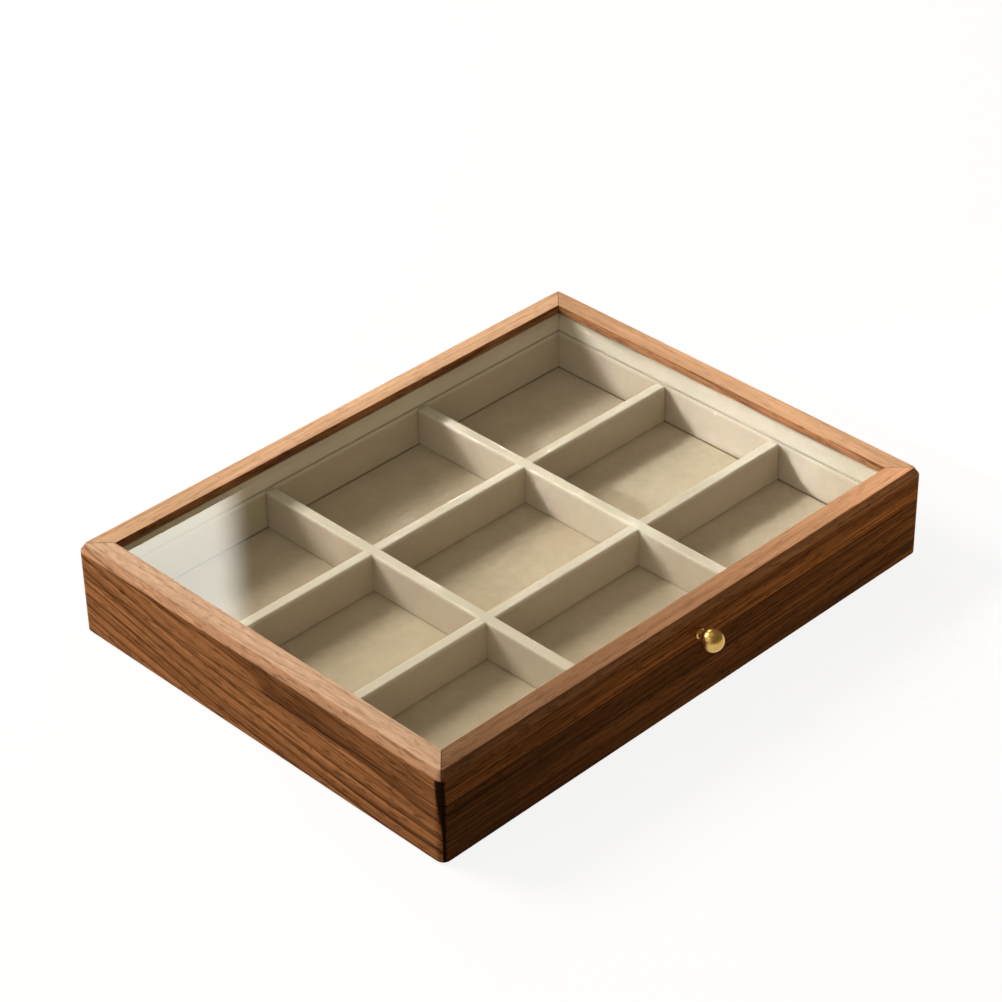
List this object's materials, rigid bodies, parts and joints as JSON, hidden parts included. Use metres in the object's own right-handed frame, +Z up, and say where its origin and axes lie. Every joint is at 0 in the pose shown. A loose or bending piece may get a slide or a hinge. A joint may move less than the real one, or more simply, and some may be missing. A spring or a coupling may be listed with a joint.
{
  "type": "jewelry box",
  "caption": "Shallow walnut jewelry box with a hinged glass lid in a mitred frame, a brass ball knob on the lid's front rail and a velvet divider grid inside.",
  "frame": {"origin": "centre of the underside, on the surface the box stands on", "axes": "+X along the width, to the right seen from the front; +Y towards the hinges, so the knob is at -Y; +Z up"},
  "size_m": [0.33, 0.2711, 0.0513],
  "materials": {
    "walnut": "oiled walnut, satin, open grain",
    "plywood": "plain plywood, matt",
    "velvet": "beige short pile velvet on board",
    "glass": "clear float glass, ground edges",
    "brass": "satin brass",
    "steel": "plain steel screw"
  },
  "bodies": {
    "base": {"base_front_wall": "walnut", "base_front_liner": "velvet", "base_back_wall": "walnut", "base_back_liner": "velvet", "base_left_wall": "walnut", "base_left_liner": "velvet", "base_right_wall": "walnut", "base_right_liner": "velvet", "bottom_panel": "plywood", "floor_board": "velvet", "long_divider_front": "velvet", "long_divider_rear": "velvet", "short_divider_left": "velvet", "short_divider_right": "velvet", "left_hinge_base_leaf": "brass", "left_hinge_pin": "brass", "right_hinge_base_leaf": "brass", "right_hinge_pin": "brass", "base_leaf_screws": "brass"},
    "lid": {"lid_front_rail": "walnut", "lid_front_liner": "velvet", "lid_back_rail": "walnut", "lid_back_liner": "velvet", "lid_left_rail": "walnut", "lid_left_liner": "velvet", "lid_right_rail": "walnut", "lid_right_liner": "velvet", "left_hinge_lid_leaf": "brass", "right_hinge_lid_leaf": "brass", "lid_leaf_screws": "brass", "lid_glass": "glass", "knob": "brass", "knob_screw": "steel"}
  },
  "joints": [
    {"name": "lid_hinge", "type": "hinge", "parent": "base", "child": "lid", "pos_m": [0, 0.1275, 0.033], "axis": [-1, 0, 0], "range_deg": [0, 95]}
  ]
}
